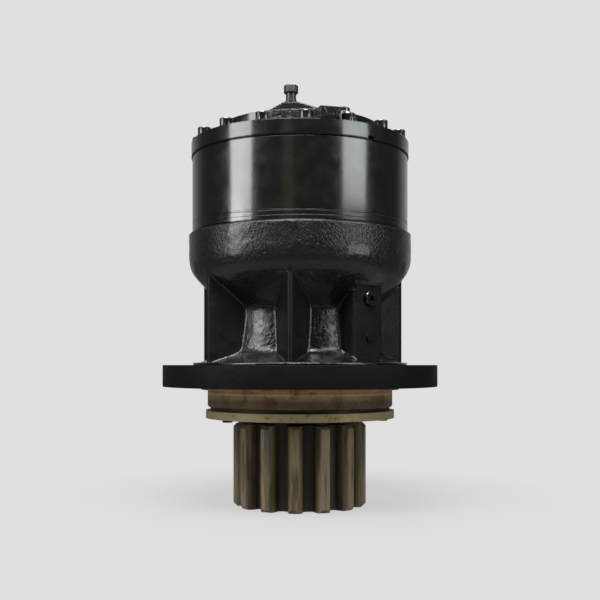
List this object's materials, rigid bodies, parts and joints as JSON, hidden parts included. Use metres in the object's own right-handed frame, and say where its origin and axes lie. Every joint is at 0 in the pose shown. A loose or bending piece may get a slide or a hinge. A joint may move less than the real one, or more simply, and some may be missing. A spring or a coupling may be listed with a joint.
{
  "type": "planetary swing gearbox",
  "caption": "Flanged two-stage planetary swing gearbox with a ribbed cast housing, smooth ring gear, screwed top cover with motor opening, and a toothed output pinion.",
  "frame": {"origin": "centre of the mounting flange's underside, on the output axis", "axes": "+Z along the output axis, from the pinion towards the motor opening; -Y towards the pictured front; +X to its right"},
  "size_m": [0.3479, 0.348, 0.507],
  "materials": {
    "cast_paint": "thick glossy black paint over rough casting",
    "ring_paint": "smooth glossy black paint",
    "screw_paint": "glossy black paint over socket screws",
    "oiled_pinion": "oiled, olive-brown hardened steel",
    "plate_zinc": "yellowish zinc plating with rust spots",
    "shim_steel": "dark oiled shims",
    "sleeve_steel": "dark ground steel",
    "seal_rubber": "matt black rubber",
    "plate_screw_steel": "blackened steel",
    "bearing_steel": "ground and polished steel",
    "cage_steel": "pressed steel",
    "turned_steel": "turned steel",
    "carrier_iron": "machined iron",
    "gear_steel": "hobbed, hardened steel",
    "bush_bronze": "turned bronze",
    "breather_steel": "black paint over knurled steel",
    "plug_steel": "black paint worn at the hex",
    "washer_copper": "soft sealing washer"
  },
  "bodies": {
    "root": {"gear_housing": "cast_paint", "ring_gear": "ring_paint", "top_cover": "cast_paint", "cover_screws": "screw_paint", "dowel_pins": "turned_steel", "breather_stem": "breather_steel", "breather_cap": "breather_steel", "filler_plug": "plug_steel", "filler_washer": "washer_copper", "drain_plug": "plug_steel", "grease_plug": "plug_steel", "retainer_plate": "plate_zinc", "plate_screws": "plate_screw_steel", "shim_pack": "shim_steel", "shaft_seal": "seal_rubber", "low_bearing_cup": "bearing_steel", "high_bearing_cup": "bearing_steel"},
    "output": {"pinion_shaft": "oiled_pinion", "wear_sleeve": "sleeve_steel", "low_bearing_cone": "bearing_steel", "high_bearing_cone": "bearing_steel", "lock_nut": "turned_steel", "shaft_snap_ring": "turned_steel", "carrier_two": "carrier_iron", "carrier_two_pins": "turned_steel", "planet_two_washers": "bush_bronze", "thrust_button": "bush_bronze"},
    "low_roller_set": {"low_bearing_rollers": "bearing_steel", "low_bearing_cage": "cage_steel"},
    "high_roller_set": {"high_bearing_rollers": "bearing_steel", "high_bearing_cage": "cage_steel"},
    "first_carrier": {"carrier_one": "carrier_iron", "carrier_one_pins": "turned_steel", "sun_two": "gear_steel", "planet_one_washers": "bush_bronze", "planet_one_circlips": "turned_steel", "sun_thrust_washer": "bush_bronze"},
    "input_sun": {"sun_one": "gear_steel"},
    "planet_two_a_set": {"planet_two_a": "gear_steel", "bush_two_a": "bush_bronze"},
    "planet_two_b_set": {"planet_two_b": "gear_steel", "bush_two_b": "bush_bronze"},
    "planet_two_c_set": {"planet_two_c": "gear_steel", "bush_two_c": "bush_bronze"},
    "planet_one_a_set": {"planet_one_a": "gear_steel", "bush_one_a": "bush_bronze"},
    "planet_one_b_set": {"planet_one_b": "gear_steel", "bush_one_b": "bush_bronze"},
    "planet_one_c_set": {"planet_one_c": "gear_steel", "bush_one_c": "bush_bronze"}
  },
  "joints": [
    {"name": "output_spin", "type": "hinge", "parent": "root", "child": "output", "pos_m": [0, 0, 0], "axis": [0, 0, 1], "continuous": true},
    {"name": "low_roller_orbit", "type": "hinge", "parent": "root", "child": "low_roller_set", "pos_m": [0, 0, 0], "axis": [0, 0, 1], "continuous": true},
    {"name": "high_roller_orbit", "type": "hinge", "parent": "root", "child": "high_roller_set", "pos_m": [0, 0, 0], "axis": [0, 0, 1], "continuous": true},
    {"name": "first_carrier_spin", "type": "hinge", "parent": "root", "child": "first_carrier", "pos_m": [0, 0, 0], "axis": [0, 0, 1], "continuous": true},
    {"name": "input_sun_spin", "type": "hinge", "parent": "root", "child": "input_sun", "pos_m": [0, 0, 0], "axis": [0, 0, 1], "continuous": true},
    {"name": "planet_two_a_spin", "type": "hinge", "parent": "output", "child": "planet_two_a_set", "pos_m": [0.072, 0, 0.21], "axis": [0, 0, 1], "continuous": true},
    {"name": "planet_two_b_spin", "type": "hinge", "parent": "output", "child": "planet_two_b_set", "pos_m": [-0.036, 0.06235, 0.21], "axis": [0, 0, 1], "continuous": true},
    {"name": "planet_two_c_spin", "type": "hinge", "parent": "output", "child": "planet_two_c_set", "pos_m": [-0.036, -0.06235, 0.21], "axis": [0, 0, 1], "continuous": true},
    {"name": "planet_one_a_spin", "type": "hinge", "parent": "first_carrier", "child": "planet_one_a_set", "pos_m": [0.072, 0, 0.27], "axis": [0, 0, 1], "continuous": true},
    {"name": "planet_one_b_spin", "type": "hinge", "parent": "first_carrier", "child": "planet_one_b_set", "pos_m": [-0.036, 0.06235, 0.27], "axis": [0, 0, 1], "continuous": true},
    {"name": "planet_one_c_spin", "type": "hinge", "parent": "first_carrier", "child": "planet_one_c_set", "pos_m": [-0.036, -0.06235, 0.27], "axis": [0, 0, 1], "continuous": true}
  ],
  "couplings": [
    {"joint": "low_roller_orbit", "follows": "output_spin", "ratio": 0.4324},
    {"joint": "high_roller_orbit", "follows": "output_spin", "ratio": 0.4361},
    {"joint": "first_carrier_spin", "follows": "output_spin", "ratio": 4},
    {"joint": "input_sun_spin", "follows": "output_spin", "ratio": 16},
    {"joint": "planet_two_a_spin", "follows": "output_spin", "ratio": -3},
    {"joint": "planet_two_b_spin", "follows": "output_spin", "ratio": -3},
    {"joint": "planet_two_c_spin", "follows": "output_spin", "ratio": -3},
    {"joint": "planet_one_a_spin", "follows": "output_spin", "ratio": -12},
    {"joint": "planet_one_b_spin", "follows": "output_spin", "ratio": -12},
    {"joint": "planet_one_c_spin", "follows": "output_spin", "ratio": -12}
  ]
}
